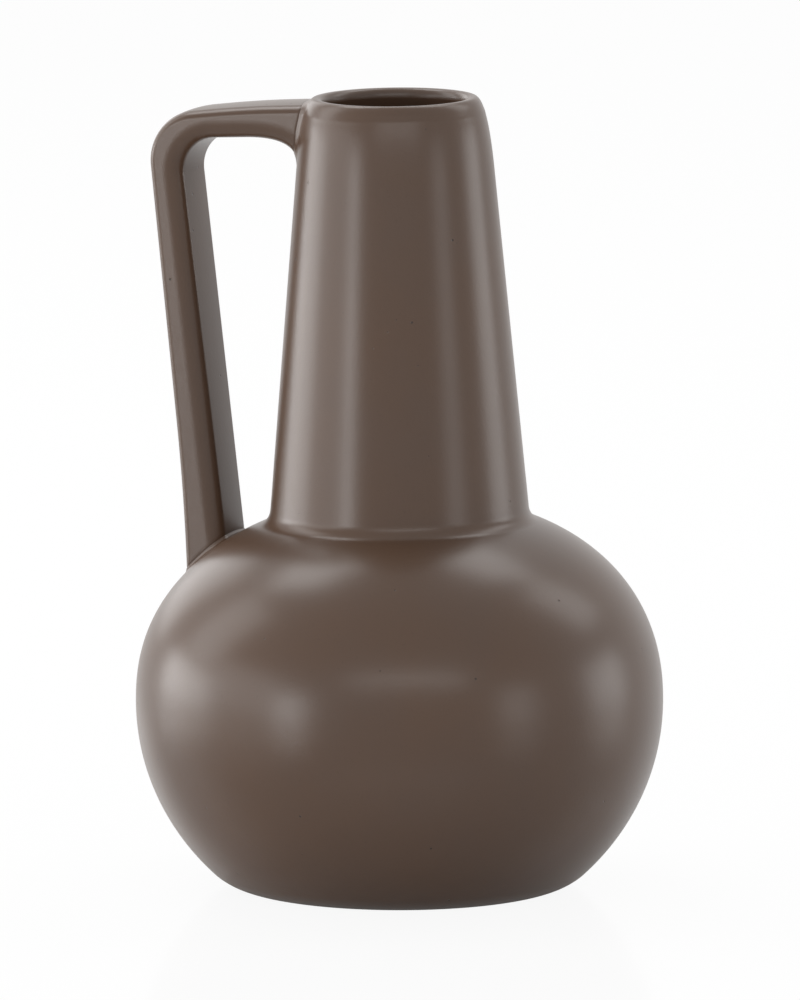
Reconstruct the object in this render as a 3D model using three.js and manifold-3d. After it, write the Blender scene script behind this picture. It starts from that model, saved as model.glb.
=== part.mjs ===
// Jug vase: a low globe, a tall tapered neck and a strap handle from the rim to the shoulder.
// Millimetres, +Z up. The origin is on the globe's axis, at the level the vase stands on.
// The handle lies in the plane Y = 0, on the -X side.

import * as THREE from 'three';
import { mergeVertices } from 'three/addons/utils/BufferGeometryUtils.js';
import Module from 'manifold-3d';

const wasm = await Module();
wasm.setup();

// Whole vessel. The height is measured along the neck's axis.
const vesselHeight = 240;
const wallThickness = 5.5;
const floorThickness = 7;

// Globe: one superellipse from the widest level up, another from it down to the floor level
const globeRadius = 79.7;
const widestHeight = 56.8;
const shoulderRise = 61.3;
const shoulderFullness = 2.2;
const bowlFloorRadius = 51.1;
const bowlFullness = 2.02;

// Foot: a flat ring to stand on, a shallow recess inside it and a soft round outside it
const footRoundWidth = 6.7;
const footRoundHeight = 4.4;
const footRingWidth = 8;
const recessDepth = 1.5;
const recessSlopeWidth = 2;

// Crease: where the neck's cone meets the shoulder, filled with a small curve, and the collar above it
const creaseRadius = 39.3;
const fillUpTheNeck = 3.5;
const fillOutTheShoulder = 3;
const collarLand = 2;

// The shoulder sits a little lower on the handle's side: how far its top is tipped off the level
const shoulderTilt = THREE.MathUtils.degToRad(1.16);

// Neck: a cone set on the collar a little off the upright, towards the handle
const neckLean = THREE.MathUtils.degToRad(0.77);
const rimRadius = 27.9;
const rimWidth = 6.5;
const rimTurnInHeight = 21;
const rimTurnIn = 0.1;
const rimRoundWidth = 3.7;
const lipRound = 1.6;
const throatDepth = 14;

// Handle: the bar leaves the neck just below the rim, and the leg comes down on the shoulder
const barDropBelowRim = 1.9;
const barThicknessAtNeck = 10.8;
const barLevelReach = 6;
const barCrestReach = 35;
const cornerInsetFromGlobe = 0.5;
const cornerDrop = 6.3;
const outerCornerRadius = 16;
const innerCornerRadius = 10.4;
const innerCornerBelowOuter = 6.8;
const legThicknessAtTop = 10.6;
const legThicknessAtFoot = 11.8;
const footInsetFromGlobe = 13.8;
const legBendRise = 9.9;
const legBendSpread = 35;
const rootFilletReach = 16;
const rootFilletDrop = 9.5;

// Strap section: wider at the rim than at the foot, with rounded edges
const strapWidthAtRim = 22.9;
const strapWidthAtFoot = 20.8;
const strapEdgeRound = 2.3;

// Room for the slip between the handle's ends and the walls that they are luted to
const slipGap = 0.3;

// How far a piece runs on past the face that trims it
const trimAllowance = 6;

// Fineness of the facets
const turns = 72;
const bowlSteps = 8;
const shoulderSteps = 10;
const curveSteps = 4;
const cornerSteps = 7;
const edgeSteps = 4;

const glazeColour = 0x6b5d53;
const glazeRoughness = 0.5;

const up = new THREE.Vector2(0, 1);

// Outline points hold the distance from the axis in x and the height in y.
function at(radius, height) {
  return new THREE.Vector2(radius, height);
}

// Rise above the widest level at which a superellipse has narrowed to a radius
function riseToRadius(fullRise, fullRadius, radius, fullness) {
  return fullRise * (1 - (radius / fullRadius) ** fullness) ** (1 / fullness);
}

// Points of a superellipse that leave out the first: the angle runs from 0, at the widest, to its pole
function superellipse(radius, rise, fullness, fromAngle, toAngle, steps) {
  const points = [];
  for (let step = 1; step <= steps; step += 1) {
    const share = Math.sin(THREE.MathUtils.lerp(fromAngle, toAngle, step / steps));
    const narrowed = radius * (1 - share ** fullness) ** (1 / fullness);
    points.push(at(narrowed, widestHeight + rise * share));
  }
  return points;
}

// Points of a quadratic curve that leave out the first
function bend(start, control, end) {
  return new THREE.QuadraticBezierCurve(start, control, end).getPoints(curveSteps).slice(1);
}

// Points of an arc of a given radius that rounds the corner between two straight lines
function roundedCorner(before, corner, after, radius) {
  const back = before.clone().sub(corner).normalize();
  const forth = after.clone().sub(corner).normalize();
  const halfAngle = Math.acos(back.dot(forth)) / 2;
  const bisector = back.clone().add(forth).normalize();
  const centre = corner.clone().addScaledVector(bisector, radius / Math.sin(halfAngle));
  const first = corner.clone().addScaledVector(back, radius / Math.tan(halfAngle)).sub(centre);
  const turn = (Math.PI - 2 * halfAngle) * Math.sign(forth.cross(back));
  const points = [];
  for (let step = 0; step <= cornerSteps; step += 1) {
    const spoke = first.clone().rotateAround(at(0, 0), turn * step / cornerSteps);
    points.push(centre.clone().add(spoke));
  }
  return points;
}

// An outline moved outwards by a gap, square to itself. Ends on the axis stay on it.
function swollen(points, gap) {
  return points.map((point, index) => {
    const before = points[Math.max(index - 1, 0)];
    const after = points[Math.min(index + 1, points.length - 1)];
    const along = after.clone().sub(before).normalize();
    const moved = at(point.x + along.y * gap, point.y - along.x * gap);
    return point.x === 0 ? at(0, moved.y) : moved;
  });
}

// A body turned about the Z axis from its outline
function turned(points) {
  return new THREE.LatheGeometry(points, turns).rotateX(Math.PI / 2);
}

// Tips a turned body towards the handle, from nothing at the widest level to the full tilt at the crease
// and back to nothing at the neck's seat, so that the seat stays level
function settled(geometry) {
  const { smoothstep } = THREE.MathUtils;
  const position = geometry.attributes.position;
  for (let index = 0; index < position.count; index += 1) {
    const height = position.getZ(index);
    const upTheShoulder = smoothstep(height, widestHeight, creaseHeight);
    const upTheCollar = smoothstep(height, creaseHeight, seatHeight);
    const slope = Math.tan(shoulderTilt) * upTheShoulder * (1 - upTheCollar);
    position.setZ(index, height + slope * position.getX(index));
  }
  return geometry;
}

// A closed geometry as a solid that can be cut
function toSolid(geometry) {
  const bare = geometry.clone();
  bare.deleteAttribute('normal');
  bare.deleteAttribute('uv');
  const joined = mergeVertices(bare);
  const corners = joined.index.array;
  const kept = [];
  for (let first = 0; first < corners.length; first += 3) {
    const [a, b, c] = corners.slice(first, first + 3);
    if (a !== b && b !== c && c !== a) kept.push(a, b, c);
  }
  return new wasm.Manifold(new wasm.Mesh({
    numProp: 3,
    vertProperties: joined.attributes.position.array,
    triVerts: new Uint32Array(kept),
  }));
}

function toGeometry(solid) {
  const { vertProperties, triVerts } = solid.getMesh();
  const geometry = new THREE.BufferGeometry();
  geometry.setAttribute('position', new THREE.BufferAttribute(vertProperties, 3));
  geometry.setIndex(new THREE.BufferAttribute(triVerts, 1));
  geometry.computeVertexNormals();
  return geometry;
}

function glazedMesh(name, geometry) {
  const material = new THREE.MeshStandardMaterial({ color: glazeColour, roughness: glazeRoughness });
  const mesh = new THREE.Mesh(geometry, material);
  mesh.name = name;
  return mesh;
}

// Levels and slopes that follow from the driving sizes
const creaseHeight = widestHeight + riseToRadius(shoulderRise, globeRadius, creaseRadius, shoulderFullness);
const neckSlope = (creaseRadius - rimRadius) / (vesselHeight - creaseHeight);
const seatHeight = creaseHeight + fillUpTheNeck + collarLand;
const bowlDrop = widestHeight / riseToRadius(1, globeRadius, bowlFloorRadius, bowlFullness);

// Radius of the neck's straight cone at a height along the neck's axis
function coneRadiusAt(height) {
  return creaseRadius - (height - creaseHeight) * neckSlope;
}

// Height of the shoulder's surface at a distance from the axis
function shoulderHeightAt(radius) {
  return widestHeight + riseToRadius(shoulderRise, globeRadius, radius, shoulderFullness);
}

// The globe's outside, from the middle of the foot up to the outer edge of the neck's seat
function globeOutside() {
  const ringOuter = bowlFloorRadius - footRoundWidth;
  const ringInner = ringOuter - footRingWidth;
  const bowlShare = (widestHeight - footRoundHeight) / bowlDrop;
  const bowlAngle = Math.asin(bowlShare);
  const bowl = superellipse(globeRadius, -bowlDrop, bowlFullness, 0, bowlAngle, bowlSteps).reverse();
  const fillStart = creaseRadius + fillOutTheShoulder;
  const fillAngle = Math.asin((shoulderHeightAt(fillStart) - widestHeight) / shoulderRise);
  const shoulder = superellipse(globeRadius, shoulderRise, shoulderFullness, 0, fillAngle, shoulderSteps);
  const fillTop = creaseHeight + fillUpTheNeck;
  return [
    at(0, recessDepth),
    at(ringInner - recessSlopeWidth, recessDepth),
    at(ringInner, 0),
    at(ringOuter, 0),
    ...bend(at(ringOuter, 0), at(bowlFloorRadius, 0), bowl[0]),
    ...bowl.slice(1),
    at(globeRadius, widestHeight),
    ...shoulder,
    ...bend(shoulder.at(-1), at(creaseRadius, creaseHeight), at(coneRadiusAt(fillTop), fillTop)),
    at(coneRadiusAt(seatHeight), seatHeight),
  ];
}

// The globe's inside, from the inner edge of the neck's seat down to the middle of the floor
function globeInside() {
  const seatRadius = coneRadiusAt(seatHeight) - wallThickness;
  const innerRadius = globeRadius - wallThickness;
  const innerRise = shoulderRise - wallThickness;
  const innerDrop = bowlDrop - wallThickness;
  const throatRise = riseToRadius(innerRise, innerRadius, seatRadius, shoulderFullness);
  const throatAngle = Math.asin(throatRise / innerRise);
  const floorAngle = Math.asin((widestHeight - floorThickness) / innerDrop);
  const shoulder = superellipse(innerRadius, innerRise, shoulderFullness, 0, throatAngle, shoulderSteps);
  return [
    at(seatRadius, seatHeight),
    ...shoulder.reverse(),
    at(innerRadius, widestHeight),
    ...superellipse(innerRadius, -innerDrop, bowlFullness, 0, floorAngle, bowlSteps),
    at(0, floorThickness),
  ];
}

// The neck's outside, from below its seat up to the top of the rim
function neckOutside() {
  const start = seatHeight - trimAllowance;
  const turnIn = vesselHeight - rimTurnInHeight;
  const corner = at(rimRadius - rimTurnIn, vesselHeight);
  return [
    at(coneRadiusAt(start), start),
    at(coneRadiusAt(turnIn), turnIn),
    ...bend(at(coneRadiusAt(turnIn), turnIn), corner, at(corner.x - rimRoundWidth, vesselHeight)),
  ];
}

// The neck's bore, from the lip of the mouth down past the seat
function neckInside() {
  const mouthRadius = rimRadius - rimWidth;
  const start = seatHeight - trimAllowance;
  const throat = vesselHeight - throatDepth;
  const lipTop = at(mouthRadius + lipRound, vesselHeight);
  return [
    lipTop,
    ...bend(lipTop, at(mouthRadius, vesselHeight), at(mouthRadius, vesselHeight - lipRound)),
    at(coneRadiusAt(throat) - wallThickness, throat),
    at(coneRadiusAt(start) - wallThickness, start),
  ];
}

// A geometry on the neck's axis, leaned about the middle of the seat
function leaned(geometry) {
  return geometry.translate(0, 0, -seatHeight).rotateY(-neckLean).translate(0, 0, seatHeight);
}

// The neck, trimmed level where it stands on the collar
function neckGeometry() {
  const outline = [...neckOutside(), ...neckInside()];
  const blockSize = 4 * globeRadius;
  const below = new THREE.BoxGeometry(blockSize, blockSize, blockSize);
  below.translate(0, 0, -blockSize / 2).translate(0, 0, seatHeight);
  return toGeometry(toSolid(leaned(turned([...outline, outline[0]]))).subtract(toSolid(below)));
}

// The handle's side outline, with its ends run on into the neck and the globe
function handleOutline() {
  const barTop = vesselHeight - barDropBelowRim;
  const barCrest = at(barCrestReach, barTop);
  const outerCorner = at(globeRadius - cornerInsetFromGlobe, barTop - cornerDrop);

  const footReach = globeRadius - footInsetFromGlobe;
  const legBend = at(footReach, shoulderHeightAt(footReach) + legBendRise);
  const bendStart = outerCorner.clone().sub(legBend).setLength(legBendSpread).add(legBend);
  const bendEnd = legBend.clone().addScaledVector(up, -legBendSpread);
  const shoulderOfStrap = roundedCorner(barCrest, outerCorner, legBend, outerCornerRadius);

  const footInner = footReach - legThicknessAtFoot;
  const footLanding = at(footInner, shoulderHeightAt(footInner));
  const innerCorner = at(outerCorner.x - legThicknessAtTop, outerCorner.y - innerCornerBelowOuter);
  const legEnd = footLanding.clone().sub(innerCorner).setLength(trimAllowance).add(footLanding);

  const rootHeight = barTop - barThicknessAtNeck;
  const neckFaceAt = (height) => coneRadiusAt(height) + (height - seatHeight) * Math.tan(neckLean);
  const root = at(neckFaceAt(rootHeight), rootHeight);
  const belowRoot = at(neckFaceAt(seatHeight), seatHeight);
  const filletStart = innerCorner.clone().sub(root).setLength(rootFilletReach).add(root);
  const filletEnd = belowRoot.clone().sub(root).setLength(rootFilletDrop).add(root);

  return [
    at(0, barTop),
    at(barLevelReach, barTop),
    ...bend(at(barLevelReach, barTop), barCrest, shoulderOfStrap[0]),
    ...shoulderOfStrap.slice(1),
    bendStart,
    ...bend(bendStart, legBend, bendEnd),
    legEnd,
    ...roundedCorner(legEnd, innerCorner, root, innerCornerRadius),
    filletStart,
    ...bend(filletStart, root, filletEnd),
    at(0, filletEnd.y),
  ];
}

// Narrows a strap's width with its height, from the rim down to the foot
function narrowedToFoot(geometry) {
  const position = geometry.attributes.position;
  const footHeight = shoulderHeightAt(globeRadius - footInsetFromGlobe);
  for (let index = 0; index < position.count; index += 1) {
    const share = (position.getZ(index) - footHeight) / (vesselHeight - footHeight);
    const width = THREE.MathUtils.lerp(strapWidthAtFoot, strapWidthAtRim, share);
    position.setY(index, position.getY(index) * width / strapWidthAtRim);
  }
  return geometry;
}

// The handle, cut to the neck and to the globe with room for the slip
function handleGeometry() {
  const strap = new THREE.ExtrudeGeometry(new THREE.Shape(handleOutline()), {
    depth: strapWidthAtRim - 2 * strapEdgeRound,
    steps: 1,
    bevelThickness: strapEdgeRound,
    bevelSize: strapEdgeRound,
    bevelOffset: -strapEdgeRound,
    bevelSegments: edgeSteps,
  });
  strap.translate(0, 0, strapEdgeRound - strapWidthAtRim / 2).rotateX(Math.PI / 2).rotateZ(Math.PI);
  const neckOutline = neckOutside();
  const neckCore = [at(0, neckOutline[0].y), ...neckOutline, at(0, vesselHeight)];
  const globeCore = [...globeOutside(), at(0, seatHeight)];
  const trimmed = toSolid(narrowedToFoot(strap))
    .subtract(toSolid(leaned(turned(swollen(neckCore, slipGap)))))
    .subtract(toSolid(settled(turned(swollen(globeCore, slipGap)))));
  return toGeometry(trimmed);
}

const jugVase = new THREE.Group();
jugVase.add(glazedMesh('globe', settled(turned([...globeOutside(), ...globeInside()]))));
jugVase.add(glazedMesh('neck', neckGeometry()));
jugVase.add(glazedMesh('handle', handleGeometry()));

export default jugVase;
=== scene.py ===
"""Jug vase in taupe satin glaze: a low globe, a tall tapered neck and a strap handle.

The frame is the solids' own: metres in Blender, +Z up, the origin on the globe's axis where the
vase stands, the handle in the plane y = 0 on the -x side. Shapes are worked out in millimetres.
"""
import math

import bpy
import numpy as np
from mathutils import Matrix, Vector


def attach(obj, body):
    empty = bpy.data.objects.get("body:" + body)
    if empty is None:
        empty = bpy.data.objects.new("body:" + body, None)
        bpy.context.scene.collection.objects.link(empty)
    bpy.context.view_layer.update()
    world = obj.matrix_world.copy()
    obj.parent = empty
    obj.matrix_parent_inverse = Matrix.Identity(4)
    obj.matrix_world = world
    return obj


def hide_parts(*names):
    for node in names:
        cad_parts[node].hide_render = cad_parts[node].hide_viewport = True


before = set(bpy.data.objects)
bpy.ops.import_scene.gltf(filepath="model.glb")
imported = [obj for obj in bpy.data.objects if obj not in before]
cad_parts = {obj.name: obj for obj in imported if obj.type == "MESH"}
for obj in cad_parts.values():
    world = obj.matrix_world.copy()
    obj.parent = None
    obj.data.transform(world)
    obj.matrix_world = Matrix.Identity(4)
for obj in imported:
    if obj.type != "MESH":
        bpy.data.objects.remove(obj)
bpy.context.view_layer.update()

MM = 0.001
NOT_ZERO = 1e-9
WHITE = (1.0, 1.0, 1.0, 1.0)

# Whole vase and globe, in millimetres, as in the solids
HEIGHT = 240.0
WALL = 5.5
FLOOR = 7.0
FLOOR_ROUND = 5.0
GLOBE_RADIUS = 79.7
WIDEST = 56.8
SHOULDER_RISE = 61.3
SHOULDER_FULLNESS = 2.2
SHOULDER_TILT = math.radians(1.16)
BOWL_FLOOR_RADIUS = 51.1
BOWL_FULLNESS = 2.02

# Foot ring, and the slope from it up to the recess, whose two ends are shares of its depth
FOOT_ROUND_WIDTH = 6.7
FOOT_ROUND_HEIGHT = 4.4
FOOT_RING_WIDTH = 8.0
RING_SOFT_IN = 0.6
RING_SOFT_OUT = 0.7
RECESS_DEPTH = 1.5
RECESS_SLOPE = 2.0
RECESS_SOFT = 0.8
SLOPE_HIGH_END = 0.6
SLOPE_LOW_END = 0.3

# Crease between shoulder and neck, how far its fillet reaches, and the collar that the neck sits on
CREASE_RADIUS = 39.3
FILL_UP = 3.5
FILL_OUT = 3.0
COLLAR_LAND = 2.0

# Neck, its rim and lip, and the faint ridge where the glaze gathers under the rim
RIM_RADIUS = 27.9
RIM_WIDTH = 6.5
RIM_TURN_HEIGHT = 21.0
RIM_TURN_IN = 0.1
RIM_ROUND = 3.7
LIP_ROUND = 2.2
LIP_ROUND_DEEP = 3.0
LIP_RIDGE = 0.06
LIP_RIDGE_DROP = 4.4
LIP_RIDGE_SPREAD = 0.75
THROAT_DEPTH = 14.0
LEAN = math.radians(0.77)
LEAN_EASE = 16.0
UNSETTLING_GUESSES = 5

# Strap handle, in millimetres: its side lines
BAR_DROP = 1.75
BAR_START = 14.0
BAR_CREST = 35.0
BAR_LEVEL = 6.0
BAR_THICKNESS = 11.0
CORNER_INSET = 0.25
CORNER_DROP = 6.3
OUTER_CORNER = 16.0
INNER_CORNER = 10.4
INNER_BELOW_OUTER = 6.95
LEG_TOP = 11.25
LEG_FOOT = 12.5
LEG_RUN_ON = 22.0
FOOT_INSET = 13.55
LEG_BEND_RISE = 9.9
LEG_BEND_SPREAD = 35.0
ROOT_FILLET_REACH = 16.0
ROOT_FILLET_DROP = 9.5
ROOT_RUN_DOWN = 9.0
ROOT_RUN_IN = 3.0

# Strap handle: its section, and how much of the bar is bowed to the neck's round
STRAP_AT_RIM = 22.9
STRAP_AT_FOOT = 20.8
OUTER_ROUND_ACROSS = 3.6
OUTER_ROUND_DEEP = 2.4
INNER_ROUND_ACROSS = 4.0
INNER_ROUND_DEEP = 5.6
FACE_CROWN = 0.25
BOW_FULL_REACH = 2.0
BOW_DOWN_TO = 45.0

# Slip smoothed round the strap's two ends: the size of its hollow round, the angle at which it
# stops short of the strap, and the fine seam left there, whose floor spans two shares of its width
NECK_ROOT = 2.3
FOOT_ROOT = 1.7
FOOT_ROOT_INSIDE = 2.2
SLIP_STOPS_AT = math.radians(25.0)
SEAM_START = 0.02
SEAM_WIDTH = 0.24
SEAM_DEPTH = 0.10
SEAM_FLOOR_FROM = 0.35
SEAM_FLOOR_TO = 0.6
PAST_SEAM = 0.1
TUCK = 0.04
TUCK_FADE = 4
SINK = 1.2
FACING_LEAST = 0.4
BELOW_SHOULDER = 10.0

# Grids: points round the turned body, rows along the strap, rings of slip at each of its ends
TURN_STEPS = 288
STRAP_ROWS = 230
SLIP_RINGS = 8

# Finish: colours are linear, depths and heights are in metres
GLAZE_WARM = (0.085, 0.047, 0.028)
GLAZE_COOL = (0.080, 0.047, 0.031)
GLAZE_FLECK = (0.060, 0.033, 0.020)
# The pinholes' colour is painted shade: the dark inside their hollows, not the glaze's own tone
PINHOLE_SHADE = (0.020, 0.012, 0.008)
CLAY = (0.46, 0.36, 0.27)
ROUGHNESS = 0.29
ROUGHNESS_SPREAD = 0.012
CLAY_ROUGHNESS = 0.85
GLAZE_IOR = 1.44
MARK_SCALES = (("Cloud Scale", 24.0), ("Speckle Scale", 1100.0), ("Pit Scale", 100.0))
CLOUD_DETAIL = 3.0
CLOUD_COARSENESS = 0.55
CLOUD_SPAN = (0.3, 0.7)
SPECKLE_DETAIL = 2.0
SPECKLE_COARSENESS = 0.6
SPECKLE_SPAN = (0.25, 0.75)
FLECK_SPAN = (0.62, 0.78)
FLECK_SHARE = 0.4
GRAIN_BUMP = 0.05
GRAIN_DEPTH = 0.0002
PIT_SPAN = (0.045, 0.018)
PIT_BUMP = 0.6
PIT_DEPTH = 0.0002
BARE_SPAN = (0.00035, 0.0001)

# Camera: where it stands round the vase, from the fit to the photograph's outline
CAMERA_AZIMUTH = 22.3
CAMERA_ELEVATION = 8.6
CAMERA_DISTANCE = 5.0
CAMERA_LENS = 596.5
CAMERA_SENSOR = 36.0
CAMERA_SEES_TO = 50.0
CAMERA_AIM = (0.00016, 0.0, 0.11755)

# Studio: each lamp's name, azimuth from the camera's, elevation, width and height in metres, and
# brightness against white
LAMPS = (
    ("left_wall", -108.0, 3.0, 1.15, 0.42, 5.6),
    ("left_low", -72.0, 8.0, 1.10, 0.70, 2.1),
    ("left_strip", -48.0, 3.0, 0.38, 0.42, 8.0),
    ("left_upper", -104.0, 30.0, 0.75, 1.10, 2.6),
    ("back_left", -150.0, 20.0, 0.75, 1.00, 1.4),
    ("back_left_top", -141.0, 60.0, 0.95, 0.60, 4.8),
    ("back_right_top", 148.0, 60.0, 0.95, 0.60, 3.2),
    ("right_upper", 112.0, 38.0, 0.60, 0.85, 2.4),
    ("right_low", 102.0, 4.0, 0.75, 0.50, 3.2),
    ("right_front", 52.0, 4.0, 0.50, 0.50, 2.2),
    ("front_bar", 3.0, 23.0, 1.70, 0.20, 3.4),
)
LAMP_DISTANCE = 1.8
LAMP_AIM = (0.0, 0.0, 0.12)
FLOOR_RADIUS = 4.0
FLOOR_CORNERS = 96
FLOOR_COLOUR = (0.80, 0.80, 0.80)
FLOOR_ROUGHNESS = 0.12
FLOOR_SEEN_WHITE = 0.92
FLOOR_MIRRORED_WHITE = 0.15
WORLD_STRENGTH = 0.5


# Outlines of the turned body

def rise_to(radius, full_radius, full_rise, fullness):
    """Height above the widest level where a superellipse has narrowed to a radius.

    It is H (1 - (r/R)^n)^(1/n).
    """
    return full_rise * (1.0 - (np.asarray(radius) / full_radius) ** fullness) ** (1.0 / fullness)


def superellipse(radius, rise, fullness, start, end, count):
    """Points (radius, height) of |r/R|^n + |h/H|^n = 1 round the widest level.

    The height from that level is rise * sin a, for a from start to end, and the radius follows.
    """
    share = np.sin(np.linspace(start, end, count))
    narrowed = radius * np.maximum(1.0 - share ** fullness, 0.0) ** (1.0 / fullness)
    return np.stack([narrowed, WIDEST + rise * share], 1)


def bend(start, control, end, count):
    """Quadratic curve that leaves its start towards a control point and ends coming from it.

    Its points are (1-t)^2 a + 2t(1-t) c + t^2 b, for t from 0 to 1.
    """
    start, control, end = (np.asarray(point, float) for point in (start, control, end))
    t = np.linspace(0.0, 1.0, count)[:, None]
    return (1 - t) ** 2 * start + 2 * t * (1 - t) * control + t * t * end


def line(start, end, count):
    """Evenly spaced points of a straight line, both ends among them."""
    t = np.linspace(0.0, 1.0, count)[:, None]
    return (1 - t) * np.asarray(start, float) + t * np.asarray(end, float)


def joined(*parts):
    """Stretches of an outline one after the other, each without the first point that it shares."""
    return np.concatenate([parts[0]] + [part[1:] for part in parts[1:]])


CREASE = WIDEST + float(rise_to(CREASE_RADIUS, GLOBE_RADIUS, SHOULDER_RISE, SHOULDER_FULLNESS))
NECK_SLOPE = (CREASE_RADIUS - RIM_RADIUS) / (HEIGHT - CREASE)
SEAT = CREASE + FILL_UP + COLLAR_LAND
BOWL_DROP = WIDEST / float(rise_to(BOWL_FLOOR_RADIUS, GLOBE_RADIUS, 1.0, BOWL_FULLNESS))


def cone(height):
    """Radius of the neck's straight cone at a height."""
    return CREASE_RADIUS - (height - CREASE) * NECK_SLOPE


def shoulder_height(radius):
    """Height of the shoulder's outside at a distance from the axis."""
    return WIDEST + rise_to(radius, GLOBE_RADIUS, SHOULDER_RISE, SHOULDER_FULLNESS)


def globe_outside():
    """From the middle of the foot, over its ring, up the bowl and shoulder to the neck's seat."""
    ring_out = BOWL_FLOOR_RADIUS - FOOT_ROUND_WIDTH
    ring_in = ring_out - FOOT_RING_WIDTH
    recess_edge = ring_in - RECESS_SLOPE
    recess_end = (recess_edge - RECESS_SOFT, RECESS_DEPTH)
    slope_start = (recess_edge + RECESS_SOFT, RECESS_DEPTH * SLOPE_HIGH_END)
    slope_end = (ring_in - RING_SOFT_IN, RECESS_DEPTH * SLOPE_LOW_END)
    ring_start = (ring_in + RING_SOFT_OUT, 0.0)
    bowl_angle = math.asin((WIDEST - FOOT_ROUND_HEIGHT) / BOWL_DROP)
    bowl = superellipse(GLOBE_RADIUS, -BOWL_DROP, BOWL_FULLNESS, bowl_angle, 0.0, count=64)
    fill_start = float(shoulder_height(CREASE_RADIUS + FILL_OUT))
    fill_angle = math.asin((fill_start - WIDEST) / SHOULDER_RISE)
    shoulder = superellipse(
        GLOBE_RADIUS, SHOULDER_RISE, SHOULDER_FULLNESS, 0.0, fill_angle, count=72)
    fill_top = (cone(CREASE + FILL_UP), CREASE + FILL_UP)
    return joined(
        line((0.0, RECESS_DEPTH), recess_end, count=14),
        bend(recess_end, (recess_edge, RECESS_DEPTH), slope_start, count=5),
        line(slope_start, slope_end, count=3),
        bend(slope_end, (ring_in, 0.0), ring_start, count=5),
        line(ring_start, (ring_out, 0.0), count=6),
        bend((ring_out, 0.0), (BOWL_FLOOR_RADIUS, 0.0), bowl[0], count=14),
        bowl,
        shoulder,
        bend(shoulder[-1], (CREASE_RADIUS, CREASE), fill_top, count=16),
        line(fill_top, (cone(SEAT), SEAT), count=4),
    )


def globe_inside():
    """From the inner edge of the neck's seat, down the wall, to the middle of the floor."""
    seat_radius = cone(SEAT) - WALL
    radius = GLOBE_RADIUS - WALL
    rise = SHOULDER_RISE - WALL
    drop = BOWL_DROP - WALL
    throat = math.asin(float(rise_to(seat_radius, radius, rise, SHOULDER_FULLNESS)) / rise)
    floor_angle = math.asin((WIDEST - FLOOR) / drop)
    upper = superellipse(radius, rise, SHOULDER_FULLNESS, throat, 0.0, count=26)
    lower = superellipse(radius, -drop, BOWL_FULLNESS, 0.0, floor_angle, count=22)
    inner_edge = lower[-1, 0]
    floor_start = (inner_edge - FLOOR_ROUND, FLOOR)
    return joined(
        line((seat_radius, SEAT), upper[0], count=4),
        upper,
        lower[:-1],
        bend(lower[-2], (inner_edge, FLOOR), floor_start, count=6),
        line(floor_start, (0.0, FLOOR), count=9),
    )


def neck_outside():
    """From the seat up the cone, in over the rim's rounded edge to its top.

    The ridge under the rim adds height * exp(-(z / spread)^2) to the radius, with z counted from
    the ridge's middle.
    """
    turn = HEIGHT - RIM_TURN_HEIGHT
    corner = (RIM_RADIUS - RIM_TURN_IN, HEIGHT)
    outline = joined(
        line((cone(SEAT), SEAT), (cone(turn), turn), count=46),
        bend((cone(turn), turn), corner, (corner[0] - RIM_ROUND, HEIGHT), count=64),
    )
    from_ridge = (outline[:, 1] - HEIGHT + LIP_RIDGE_DROP) / LIP_RIDGE_SPREAD
    outline[:, 0] += LIP_RIDGE * np.exp(-from_ridge ** 2)
    return outline


def neck_inside():
    """From the rim's top over the lip and down the bore to the seat."""
    mouth = RIM_RADIUS - RIM_WIDTH
    throat = HEIGHT - THROAT_DEPTH
    top = RIM_RADIUS - RIM_TURN_IN - RIM_ROUND
    lip_top = (mouth + LIP_ROUND, HEIGHT)
    lip_end = (mouth, HEIGHT - LIP_ROUND_DEEP)
    bore_top = (cone(throat) - WALL, throat)
    return joined(
        line((top, HEIGHT), lip_top, count=3),
        bend(lip_top, (mouth, HEIGHT), lip_end, count=20),
        line(lip_end, bore_top, count=8),
        line(bore_top, (cone(SEAT) - WALL, SEAT), count=28),
    )


def smooth(share):
    """A share from 0 to 1, eased at both ends as q^2 (3 - 2q)."""
    return share * share * (3.0 - 2.0 * share)


def eased(height, start, end):
    """Smooth share of the way from a start height to an end height."""
    return smooth(np.clip((height - start) / (end - start), 0.0, 1.0))


def settled(points):
    """Tips the turned body's rings towards the handle.

    Going up, the tilt eases in from the widest level to the shoulder's own at the crease. From
    there it eases over into the neck's lean, which turns the neck about the middle of its seat.
    """
    up = points[..., 2]
    to_neck = eased(up, CREASE, CREASE + LEAN_EASE)
    tip = SHOULDER_TILT * eased(up, WIDEST, CREASE) * (1.0 - to_neck) + LEAN * to_neck
    lean = LEAN * to_neck
    moved = points.copy()
    moved[..., 0] = points[..., 0] * np.cos(lean) - (up - SEAT) * np.sin(lean)
    moved[..., 2] = SEAT + (up - SEAT) * np.cos(lean) + points[..., 0] * np.sin(tip)
    return moved


def unsettled(points):
    """Where points of the settled body were before it was tipped.

    The shift is found again from each better guess.
    """
    before = points.copy()
    for _ in range(UNSETTLING_GUESSES):
        before = points - (settled(before) - before)
    return before


# Meshes from grids

def turned(outline):
    """Grid (outline, angle, xyz) of an outline turned about z: x = r cos a, y = r sin a."""
    angle = np.linspace(0.0, 2.0 * np.pi, TURN_STEPS, endpoint=False)
    radius = outline[:, 0, None]
    height = np.broadcast_to(outline[:, 1, None], (len(outline), TURN_STEPS))
    return np.stack([radius * np.cos(angle), radius * np.sin(angle), height], -1)


def grid_normals(grid):
    """Unit normals of a grid closed along its second side: the cross product of its slopes."""
    along = np.gradient(grid, axis=0)
    around = np.roll(grid, -1, axis=1) - np.roll(grid, 1, axis=1)
    normal = np.cross(around, along)
    return normal / np.maximum(np.linalg.norm(normal, axis=-1, keepdims=True), NOT_ZERO)


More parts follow.
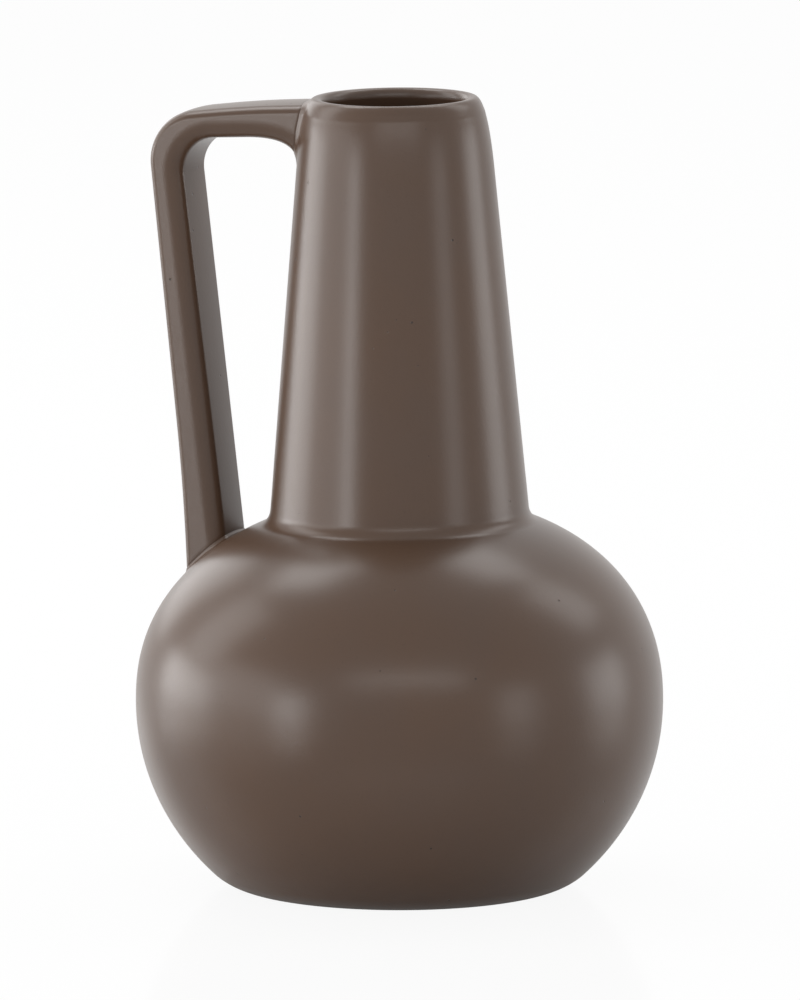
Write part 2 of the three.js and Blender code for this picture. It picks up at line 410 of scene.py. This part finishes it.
def shaded_mesh(name, points, faces, normals):
    """Smooth mesh of points in millimetres, shaded by a normal given for each point."""
    mesh = bpy.data.meshes.new(name)
    mesh.from_pydata((points * MM).tolist(), [], faces)
    mesh.update()
    mesh.shade_smooth()
    mesh.normals_split_custom_set_from_vertices(normals.tolist())
    return mesh


def tube_mesh(name, grid, normals):
    """Mesh of a grid closed along its second side, with each end drawn together in one point."""
    rows, count = grid.shape[:2]
    ring = np.arange(count)
    after = (ring + 1) % count
    row = np.arange(rows - 1)[:, None] * count
    quads = np.stack([row + ring, row + after, row + count + after, row + count + ring], -1)
    top_row = (rows - 1) * count
    first, last = rows * count, rows * count + 1
    bottom = np.stack([after, ring, np.full(count, first)], -1)
    top = np.stack([top_row + ring, top_row + after, np.full(count, last)], -1)
    faces = quads.reshape(-1, 4).tolist() + bottom.tolist() + top.tolist()
    points = np.concatenate([grid.reshape(-1, 3), grid[0].mean(0)[None], grid[-1].mean(0)[None]])
    ends = np.stack([normals[0].mean(0), normals[-1].mean(0)])
    ends /= np.maximum(np.linalg.norm(ends, axis=1, keepdims=True), NOT_ZERO)
    return shaded_mesh(name, points, faces, np.concatenate([normals.reshape(-1, 3), ends]))


def ring_mesh(name, grid, normals):
    """Mesh of a grid closed both ways: a wall with its outside, rim, inside and foot face."""
    rows, count = grid.shape[:2]
    ring = np.arange(count)
    after = (ring + 1) % count
    row = np.arange(rows)[:, None] * count
    up = (row + count) % (rows * count)
    quads = np.stack([row + ring, row + after, up + after, up + ring], -1).reshape(-1, 4)
    return shaded_mesh(name, grid.reshape(-1, 3), quads.tolist(), normals.reshape(-1, 3))


def placed(name, data):
    """A new object of the scene, at the origin."""
    made = bpy.data.objects.new(name, data)
    bpy.context.scene.collection.objects.link(made)
    return made


def piece(name, mesh, material, *nodes):
    """A finished piece, which stands for the solids named and rides with the vase."""
    made = placed(name, mesh)
    mesh.materials.append(material)
    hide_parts(*nodes)
    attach(made, "root")


# The strap handle

def unit(vector):
    """The vector at length one."""
    return np.asarray(vector, float) / np.linalg.norm(vector)


def rounded_corner(before, corner, after, radius, count):
    """Arc of a radius that touches both straight lines which meet at a corner."""
    back = unit(np.subtract(before, corner))
    forth = unit(np.subtract(after, corner))
    half = math.acos(float(back @ forth)) / 2.0
    centre = np.asarray(corner) + unit(back + forth) * radius / math.sin(half)
    spoke = np.asarray(corner) + back * radius / math.tan(half) - centre
    turn = (math.pi - 2.0 * half) * math.copysign(1.0, forth[0] * back[1] - forth[1] * back[0])
    a = np.linspace(0.0, turn, count)
    return centre + np.stack([spoke[0] * np.cos(a) - spoke[1] * np.sin(a),
                              spoke[0] * np.sin(a) + spoke[1] * np.cos(a)], 1)


def evenly(points, count):
    """The same line through count points, evenly spaced along it."""
    run = np.concatenate([[0.0], np.cumsum(np.linalg.norm(np.diff(points, axis=0), axis=1))])
    at = np.linspace(0.0, run[-1], count)
    return np.stack([np.interp(at, run, points[:, 0]), np.interp(at, run, points[:, 1])], 1)


def strap_sides(bar, corner, leg):
    """Outer and inner side lines of the strap, (reach, height), in step.

    Each has so many points on the bar, the rounded corner and the leg. Both start inside the neck
    and end below the shoulder. The inner line drops to the neck's face in a quadratic curve, the
    root's fillet.
    """
    top = HEIGHT - BAR_DROP
    crest = np.array([BAR_CREST, top])
    outer_corner = np.array([GLOBE_RADIUS - CORNER_INSET, top - CORNER_DROP])
    foot = GLOBE_RADIUS - FOOT_INSET
    leg_bend = np.array([foot, float(shoulder_height(foot)) + LEG_BEND_RISE])
    bend_start = leg_bend + unit(outer_corner - leg_bend) * LEG_BEND_SPREAD
    bend_end = leg_bend - np.array([0.0, LEG_BEND_SPREAD])
    outer_arc = rounded_corner(crest, outer_corner, leg_bend, OUTER_CORNER, corner)
    outer_bar = bend((BAR_LEVEL, top), crest, outer_arc[0], count=200)
    outer_bar = outer_bar[outer_bar[:, 0] > BAR_START]
    outer_leg = joined(line(outer_arc[-1], bend_start, count=40),
                       bend(bend_start, leg_bend, bend_end, count=60))

    landing_reach = foot - LEG_FOOT
    landing = np.array([landing_reach, float(shoulder_height(landing_reach))])
    inner_corner = outer_corner - np.array([LEG_TOP, INNER_BELOW_OUTER])
    leg_end = landing + unit(landing - inner_corner) * LEG_RUN_ON
    root_height = top - BAR_THICKNESS
    face = cone(root_height) + (root_height - SEAT) * math.tan(LEAN)
    root = np.array([face, root_height])
    inner_arc = rounded_corner(root, inner_corner, leg_end, INNER_CORNER, corner)
    slope = (inner_arc[0] - root) / (inner_arc[0, 0] - root[0])
    down_the_face = np.array([NECK_SLOPE + math.tan(LEAN), -1.0])
    fillet = bend(root + ROOT_FILLET_DROP * down_the_face, root,
                  root + ROOT_FILLET_REACH * slope, count=60)
    below = fillet[0] + ROOT_RUN_DOWN * down_the_face - np.array([ROOT_RUN_IN, 0.0])
    inner_bar = joined(line(below, fillet[0], count=20), fillet,
                       line(fillet[-1], inner_arc[0], count=60))
    inner_leg = line(inner_arc[-1], leg_end, count=80)
    outer = joined(evenly(outer_bar, bar), outer_arc, evenly(outer_leg, leg))
    inner = joined(evenly(inner_bar, bar), inner_arc, evenly(inner_leg, leg))
    return outer, inner


def strap_edge(face, edge, wide, deep):
    """Half of one face of the strap with its edge, as two arrays.

    They are the distance from the plane y = 0 and the depth under the side line. The face is
    crowned by a parabola, and the edge is a quarter of an ellipse, wide by deep.
    """
    half = STRAP_AT_RIM / 2.0
    across = np.linspace(0.0, 1.0, face)[:-1]
    a = np.linspace(0.0, math.pi / 2.0, edge)
    out = np.concatenate([(half - wide) * across, half - wide + wide * np.sin(a)])
    return out, np.concatenate([FACE_CROWN * across ** 2, FACE_CROWN + deep * (1.0 - np.cos(a))])


def strap_section(face, side, outer_edge, inner_edge):
    """Half of the strap's section, from the middle of its outer face to that of its inner face.

    Each point has its distance from the plane y = 0, its depths under the outer and the inner side
    line, and its share of the inner one. The outer edges are shallow rounds, the inner ones are
    full, and the side between them is flat.
    """
    near, near_deep = strap_edge(face, outer_edge, OUTER_ROUND_ACROSS, OUTER_ROUND_DEEP)
    far, far_deep = strap_edge(face, inner_edge, INNER_ROUND_ACROSS, INNER_ROUND_DEEP)
    before, behind = len(near) - 1, len(far) - 1
    out = np.concatenate([near[:-1], np.full(side, STRAP_AT_RIM / 2.0), far[::-1][1:]])
    under_outer = np.concatenate([near_deep[:-1], np.full(side + behind, near_deep[-1])])
    under_inner = np.concatenate([np.full(before + side, far_deep[-1]), far_deep[::-1][1:]])
    inner = np.concatenate([np.zeros(before), np.linspace(0.0, 1.0, side), np.ones(behind)])
    return out, under_outer, under_inner, inner


def around_both(half, sign=1.0):
    """The values of half a section followed by its mirror image's, whose sign may differ."""
    return np.concatenate([half, sign * half[::-1][1:-1]])


def line_normals(points, turn):
    """Unit normals of a line, its slope turned a quarter to the left, or by -1 to the right."""
    way = np.gradient(points, axis=0)
    way /= np.linalg.norm(way, axis=1, keepdims=True)
    return turn * np.stack([-way[:, 1], way[:, 0]], 1)


def strap_surface(outer, inner):
    """Grid (along, around, xyz) of the strap: its sections span the side lines, square to them.

    The width follows the height. Close to the neck the strap's end is bowed to the neck's round,
    by sqrt(R^2 - y^2) - R, so that its fillet meets the neck at every width.
    """
    section = strap_section(face=12, side=12, outer_edge=12, inner_edge=14)
    out = around_both(section[0], sign=-1.0)
    under_outer, under_inner, share = (around_both(half)[None, :, None] for half in section[1:])
    near = outer[:, None] - line_normals(outer, 1.0)[:, None] * under_outer
    far = inner[:, None] - line_normals(inner, -1.0)[:, None] * under_inner
    plane = (1.0 - share) * near + share * far
    reach, height = plane[..., 0], plane[..., 1]
    foot_height = float(shoulder_height(GLOBE_RADIUS - FOOT_INSET))
    widening = (STRAP_AT_RIM - STRAP_AT_FOOT) * (height - foot_height) / (HEIGHT - foot_height)
    across = out[None, :] * (STRAP_AT_FOOT + widening) / STRAP_AT_RIM
    bow = np.sqrt(RIM_RADIUS ** 2 - across ** 2) - RIM_RADIUS
    past_rim = (reach - RIM_RADIUS - BOW_FULL_REACH) / ROOT_FILLET_REACH
    bowed = (height > HEIGHT - BOW_DOWN_TO) * smooth(np.clip(1.0 - past_rim, 0.0, 1.0))
    return np.stack([-(reach + bow * bowed), across, height], -1)


# Where the strap meets the body

def wall_distance(points, outline):
    """Distance from a turned wall, above 0 outside it, and the wall's normal at its nearest place.

    The nearest place on each straight stretch of the outline is found, and the nearest of all is
    kept.
    """
    shape = points.shape[:-1]
    spot = unsettled(points).reshape(-1, 3)
    radius = np.hypot(spot[:, 0], spot[:, 1])
    flat = np.stack([radius, spot[:, 2]], 1)
    start, way = outline[:-1], np.diff(outline, axis=0)
    length = (way ** 2).sum(1)
    share = ((flat[:, None] - start[None]) * way[None]).sum(-1) / length
    near = start[None] + np.clip(share, 0.0, 1.0)[..., None] * way[None]
    apart = flat[:, None] - near
    gap = np.hypot(apart[..., 0], apart[..., 1])
    best = gap.argmin(1)
    rows = np.arange(len(flat))
    stretch = way[best] / np.sqrt(length[best])[:, None]
    side = stretch[:, 1] * apart[rows, best, 0] - stretch[:, 0] * apart[rows, best, 1]
    distance = np.where(side > 0.0, 1.0, -1.0) * gap[rows, best]
    turned_out = spot[:, :2] / np.maximum(radius, NOT_ZERO)[:, None]
    normal = np.concatenate([turned_out * stretch[:, 1:], -stretch[:, :1]], 1)
    return distance.reshape(shape), normal.reshape(*shape, 3)


def crossing(distance, level):
    """Row, with its fraction, at which each column's distance first reaches its level."""
    columns = np.arange(distance.shape[1])
    after = np.maximum((distance >= level[None]).argmax(0), 1)
    low, high = distance[after - 1, columns], distance[after, columns]
    return after - 1 + np.clip((level - low) / np.maximum(high - low, NOT_ZERO), 0.0, 1.0)


def sampled(grid, row):
    """Points of the grid's columns at rows with a fraction, straight between two whole rows."""
    columns = np.arange(grid.shape[1])
    below = np.clip(np.floor(row).astype(int), 0, len(grid) - 2)
    share = (row - below)[..., None]
    return (1.0 - share) * grid[below, columns] + share * grid[below + 1, columns]


def slip_steps(size):
    """Rings of smoothed slip from the wall to the strap.

    Each is (height off the wall, how far it stands out from the strap, angle b). The hollow round
    has height 1 - sin b and stand-out 1 - cos b, for b from 90 degrees to where it stops, both
    times its size. Beyond it the seam dips under the strap's side and comes back.
    """
    b = np.linspace(math.pi / 2.0, SLIP_STOPS_AT, SLIP_RINGS)
    up, out = 1.0 - np.sin(b), 1.0 - np.cos(b)
    seam = ((SEAM_START, 0.0), (SEAM_WIDTH * SEAM_FLOOR_FROM, -SEAM_DEPTH),
            (SEAM_WIDTH * SEAM_FLOOR_TO, -SEAM_DEPTH), (SEAM_WIDTH, 0.0))
    hollow = [(size * high, size * wide, angle) for high, wide, angle in zip(up, out, b)]
    return hollow + [(size * up[-1] + on, np.full_like(size, dip), 0.0) for on, dip in seam]


def flared_root(surface, normals, outline, size):
    """Rings of the smoothed slip where the strap meets a wall, from inside the wall to the strap.

    Returns the rings and the row where the plain strap begins.
    """
    distance, _ = wall_distance(surface, outline)
    facing = sampled(normals, crossing(distance, size))
    steps = slip_steps(size)
    made = []
    for level, stand_out, b in steps:
        ring = sampled(surface, crossing(distance, level))
        _, wall = wall_distance(ring, outline)
        outward = facing - (facing * wall).sum(-1, keepdims=True) * wall
        steep = np.linalg.norm(outward, axis=-1, keepdims=True)
        outward = outward / np.maximum(steep, NOT_ZERO) * np.minimum(steep / FACING_LEAST, 1.0)
        ring = ring + outward * stand_out[:, None]
        off, wall = wall_distance(ring, outline)
        made.append(ring - wall * (off - level + TUCK * math.sin(b) ** TUCK_FADE)[:, None])
    _, wall = wall_distance(made[0], outline)
    sunk = made[0] - wall * SINK
    return np.stack([sunk] + made), crossing(distance, steps[-1][0] + PAST_SEAM)


def handle_grid():
    """The strap from the neck to the shoulder with smoothed slip at each root, as one grid."""
    surface = strap_surface(*strap_sides(bar=170, corner=60, leg=170))
    normals = grid_normals(surface)
    shoulder = globe_outside()
    shoulder = shoulder[shoulder[:, 1] > WIDEST - BELOW_SHOULDER]
    half = len(surface) // 2
    at_neck = np.full(surface.shape[1], NECK_ROOT)
    neck_rings, first = flared_root(surface[:half], normals[:half], neck_outside(), at_neck)
    hole_side = np.clip((surface[-1, :, 0] + GLOBE_RADIUS - FOOT_INSET) / LEG_FOOT, 0.0, 1.0)
    at_foot = FOOT_ROOT + (FOOT_ROOT_INSIDE - FOOT_ROOT) * hole_side ** 2
    foot_rings, last = flared_root(surface[half:][::-1], normals[half:][::-1], shoulder, at_foot)
    last = len(surface) - 1 - last
    share = np.linspace(0.0, 1.0, STRAP_ROWS)[1:-1, None]
    body = sampled(surface, first + (last - first) * share)
    return np.concatenate([neck_rings, body, foot_rings[::-1]])


# Finishes

def fresh_nodes(holder):
    """The emptied node tree of a material or world, as its nodes and links."""
    holder.use_nodes = True
    holder.node_tree.nodes.clear()
    return holder.node_tree.nodes, holder.node_tree.links


def socket(group, name, way, kind, value=None):
    """Gives a node group a named input or output."""
    made = group.interface.new_socket(name=name, in_out=way, socket_type=kind)
    if value is not None:
        made.default_value = value


def ranged(nodes, links, source, span, out_low=0.0, out_high=1.0):
    """Spreads a value from one range to another, evenly, and stops at the ends."""
    node = nodes.new("ShaderNodeMapRange")
    node.inputs["From Min"].default_value, node.inputs["From Max"].default_value = span
    node.inputs["To Min"].default_value = out_low
    node.inputs["To Max"].default_value = out_high
    links.new(source, node.inputs["Value"])
    return node.outputs["Result"]


def noise(nodes, links, place, scale, detail, coarseness):
    """Noise texture on a place, whose scale comes from a socket."""
    node = nodes.new("ShaderNodeTexNoise")
    node.inputs["Detail"].default_value = detail
    node.inputs["Roughness"].default_value = coarseness
    links.new(place, node.inputs["Vector"])
    links.new(scale, node.inputs["Scale"])
    return node.outputs["Fac"]


def glaze_marks():
    """Node group: a soft cloud, a fine speckle and rare pinholes on a place, each from 0 to 1.

    A pinhole shows where the surface passes close to the middle of one of the spots' cells.
    """
    group = bpy.data.node_groups.new("glaze_marks", "ShaderNodeTree")
    socket(group, "Place", "INPUT", "NodeSocketVector")
    for name, scale in MARK_SCALES:
        socket(group, name, "INPUT", "NodeSocketFloat", scale)
    for name in ("Cloud", "Speckle", "Pit"):
        socket(group, name, "OUTPUT", "NodeSocketFloat")
    nodes, links = group.nodes, group.links
    inlet = nodes.new("NodeGroupInput").outputs
    outlet = nodes.new("NodeGroupOutput").inputs
    place = inlet["Place"]
    cloud = noise(nodes, links, place, inlet["Cloud Scale"], CLOUD_DETAIL, CLOUD_COARSENESS)
    links.new(cloud, outlet["Cloud"])
    speckle = noise(nodes, links, place, inlet["Speckle Scale"], SPECKLE_DETAIL, SPECKLE_COARSENESS)
    links.new(speckle, outlet["Speckle"])
    spots = nodes.new("ShaderNodeTexVoronoi")
    links.new(place, spots.inputs["Vector"])
    links.new(inlet["Pit Scale"], spots.inputs["Scale"])
    links.new(ranged(nodes, links, spots.outputs["Distance"], PIT_SPAN), outlet["Pit"])
    return group


def mixed(nodes, links, share, first, second):
    """Mix of two colours by a share; each colour is a plain value or a socket."""
    node = nodes.new("ShaderNodeMix")
    node.data_type = "RGBA"
    links.new(share, node.inputs["Factor"])
    for name, colour in (("A", first), ("B", second)):
        place = [one for one in node.inputs if one.name == name and one.type == "RGBA"][0]
        if isinstance(colour, tuple):
            place.default_value = (*colour, 1.0)
        else:
            links.new(colour, place)
    return [one for one in node.outputs if one.type == "RGBA"][0]


def bumped(nodes, links, height, strength, distance):
    """Bump node that raises the surface by a height."""
    node = nodes.new("ShaderNodeBump")
    node.inputs["Strength"].default_value = strength
    node.inputs["Distance"].default_value = distance
    links.new(height, node.inputs["Height"])
    return node


def glaze_material(marks_group):
    """Satin taupe glaze with bare clay under the foot ring.

    The glaze drifts between a warmer and a cooler tone, and has fine dark flecks, a faint grain
    and rare pinholes, dented in by a bump, whose near-black colour is painted shade in their
    hollows.
    """
    material = bpy.data.materials.new("taupe_satin_glaze")
    nodes, links = fresh_nodes(material)
    output = nodes.new("ShaderNodeOutputMaterial")
    shader = nodes.new("ShaderNodeBsdfPrincipled")
    links.new(shader.outputs["BSDF"], output.inputs["Surface"])
    place = nodes.new("ShaderNodeTexCoord").outputs["Object"]
    marks = nodes.new("ShaderNodeGroup")
    marks.node_tree = marks_group
    for name, scale in MARK_SCALES:
        marks.inputs[name].default_value = scale
    links.new(place, marks.inputs["Place"])
    cloud, speckle, pinhole_dent_and_shade = (marks.outputs[name] for name in ("Cloud", "Speckle", "Pit"))

    cloudy = ranged(nodes, links, cloud, CLOUD_SPAN)
    flecked = ranged(nodes, links, speckle, FLECK_SPAN, out_high=FLECK_SHARE)
    glaze = mixed(nodes, links, cloudy, GLAZE_WARM, GLAZE_COOL)
    glaze = mixed(nodes, links, flecked, glaze, GLAZE_FLECK)
    # Painted shade: the pinholes' hollows are darkened in the colour
    glaze = mixed(nodes, links, pinhole_dent_and_shade, glaze, PINHOLE_SHADE)

    parts = nodes.new("ShaderNodeSeparateXYZ")
    links.new(place, parts.inputs["Vector"])
    bare = ranged(nodes, links, parts.outputs["Z"], BARE_SPAN)
    links.new(mixed(nodes, links, bare, glaze, CLAY), shader.inputs["Base Color"])

    satin = ranged(nodes, links, cloud, CLOUD_SPAN, out_low=ROUGHNESS - ROUGHNESS_SPREAD,
                   out_high=ROUGHNESS + ROUGHNESS_SPREAD)
    rough = nodes.new("ShaderNodeMix")
    rough.data_type = "FLOAT"
    links.new(bare, rough.inputs["Factor"])
    links.new(satin, rough.inputs["A"])
    rough.inputs["B"].default_value = CLAY_ROUGHNESS
    links.new(rough.outputs["Result"], shader.inputs["Roughness"])
    shader.inputs["IOR"].default_value = GLAZE_IOR

    speckled = ranged(nodes, links, speckle, SPECKLE_SPAN)
    grain = bumped(nodes, links, speckled, GRAIN_BUMP, GRAIN_DEPTH)
    pitted = bumped(nodes, links, pinhole_dent_and_shade, PIT_BUMP, PIT_DEPTH)
    pitted.invert = True
    links.new(grain.outputs["Normal"], pitted.inputs["Normal"])
    links.new(pitted.outputs["Normal"], shader.inputs["Normal"])
    return material


# Studio

def direction(azimuth, elevation):
    """Unit vector to a place seen round the vase: azimuth 0 is the -y side and 90 the +x side."""
    a, e = math.radians(azimuth), math.radians(elevation)
    return Vector((math.sin(a) * math.cos(e), -math.cos(a) * math.cos(e), math.sin(e)))


def aimed(obj, place, target):
    """Puts a camera or lamp at a place, looking at a target."""
    obj.location = place
    obj.rotation_euler = (Vector(target) - Vector(place)).to_track_quat("-Z", "Y").to_euler()


def studio_camera():
    """Long camera at the photograph's angle."""
    data = bpy.data.cameras.new("camera")
    data.lens = CAMERA_LENS
    data.sensor_width = CAMERA_SENSOR
    data.clip_end = CAMERA_SEES_TO
    camera = placed("camera", data)
    back = direction(CAMERA_AZIMUTH, CAMERA_ELEVATION)
    aimed(camera, Vector(CAMERA_AIM) + back * CAMERA_DISTANCE, CAMERA_AIM)
    bpy.context.scene.camera = camera


def softbox(name, azimuth, elevation, width, height, brightness):
    """Rectangular lamp, its azimuth counted from the camera's.

    Its watts are brightness * pi * its area.
    """
    data = bpy.data.lights.new(name, "AREA")
    data.shape = "RECTANGLE"
    data.size = width
    data.size_y = height
    data.energy = brightness * math.pi * width * height
    way = direction(CAMERA_AZIMUTH + azimuth, elevation)
    aimed(placed(name, data), Vector(LAMP_AIM) + way * LAMP_DISTANCE, LAMP_AIM)


def even_white(nodes, kind, strength):
    """Even white light from an emission or background node."""
    node = nodes.new(kind)
    node.inputs["Color"].default_value = WHITE
    node.inputs["Strength"].default_value = strength
    return node.outputs[0]


def arithmetic(nodes, links, operation, first, second):
    """Sum or product of a socket and a number or another socket, held between 0 and 1."""
    node = nodes.new("ShaderNodeMath")
    node.operation = operation
    node.use_clamp = True
    links.new(first, node.inputs[0])
    if isinstance(second, float):
        node.inputs[1].default_value = second
    else:
        links.new(second, node.inputs[1])
    return node.outputs["Value"]


def seen_as_background(nodes, links, seen, mirrored):
    """Share of white for straight rays, and for glossy and transmission ones."""
    ray = nodes.new("ShaderNodeLightPath").outputs
    onward = arithmetic(nodes, links, "ADD", ray["Is Glossy Ray"], ray["Is Transmission Ray"])
    onward = arithmetic(nodes, links, "MULTIPLY", onward, mirrored)
    straight = arithmetic(nodes, links, "MULTIPLY", ray["Is Camera Ray"], seen)
    return arithmetic(nodes, links, "ADD", straight, onward)


def whitened(nodes, links, plain, white, seen, mirrored):
    """Mixes a surface with even white, up to a share for each kind of ray that shows it."""
    mix = nodes.new("ShaderNodeMixShader")
    links.new(seen_as_background(nodes, links, seen, mirrored), mix.inputs["Fac"])
    links.new(plain, mix.inputs[1])
    links.new(white, mix.inputs[2])
    return mix.outputs["Shader"]


def studio_floor():
    """Plain pale disc that the vase stands on."""
    a = np.linspace(0.0, 2.0 * np.pi, FLOOR_CORNERS, endpoint=False)
    rim = np.stack([FLOOR_RADIUS * np.cos(a), FLOOR_RADIUS * np.sin(a), 0.0 * a], 1)
    mesh = bpy.data.meshes.new("floor")
    mesh.from_pydata(rim.tolist(), [], [list(range(FLOOR_CORNERS))])
    floor = placed("floor", mesh)
    material = bpy.data.materials.new("pale_floor")
    nodes, links = fresh_nodes(material)
    output = nodes.new("ShaderNodeOutputMaterial")
    paint = nodes.new("ShaderNodeBsdfPrincipled")
    paint.inputs["Base Color"].default_value = (*FLOOR_COLOUR, 1.0)
    paint.inputs["Roughness"].default_value = FLOOR_ROUGHNESS
    white = even_white(nodes, "ShaderNodeEmission", strength=1.0)
    bright = whitened(nodes, links, paint.outputs["BSDF"], white,
                      seen=FLOOR_SEEN_WHITE, mirrored=FLOOR_MIRRORED_WHITE)
    links.new(bright, output.inputs["Surface"])
    mesh.materials.append(material)


def studio_world():
    """Even pale surroundings, white behind the vase."""
    world = bpy.data.worlds.new("studio")
    bpy.context.scene.world = world
    nodes, links = fresh_nodes(world)
    output = nodes.new("ShaderNodeOutputWorld")
    around = even_white(nodes, "ShaderNodeBackground", WORLD_STRENGTH)
    behind = even_white(nodes, "ShaderNodeBackground", strength=1.0)
    bright = whitened(nodes, links, around, behind, seen=1.0, mirrored=1.0)
    links.new(bright, output.inputs["Surface"])


# The vase in its studio

studio_camera()
for lamp in LAMPS:
    softbox(*lamp)
studio_floor()
studio_world()
bpy.context.scene.view_settings.view_transform = "Standard"

glaze = glaze_material(glaze_marks())

outside, inside = settled(turned(globe_outside()[1:])), settled(turned(globe_inside()[:-1]))
globe_wall = np.concatenate([outside, inside])
globe_normals = np.concatenate([grid_normals(outside), grid_normals(inside)])
piece("globe_glazed", tube_mesh("globe_glazed", globe_wall, globe_normals), glaze, "globe")

neck_wall = settled(turned(joined(neck_outside(), neck_inside())))
piece("neck_glazed", ring_mesh("neck_glazed", neck_wall, grid_normals(neck_wall)), glaze, "neck")

strap = handle_grid()
piece("handle_glazed", tube_mesh("handle_glazed", strap, grid_normals(strap)), glaze, "handle")
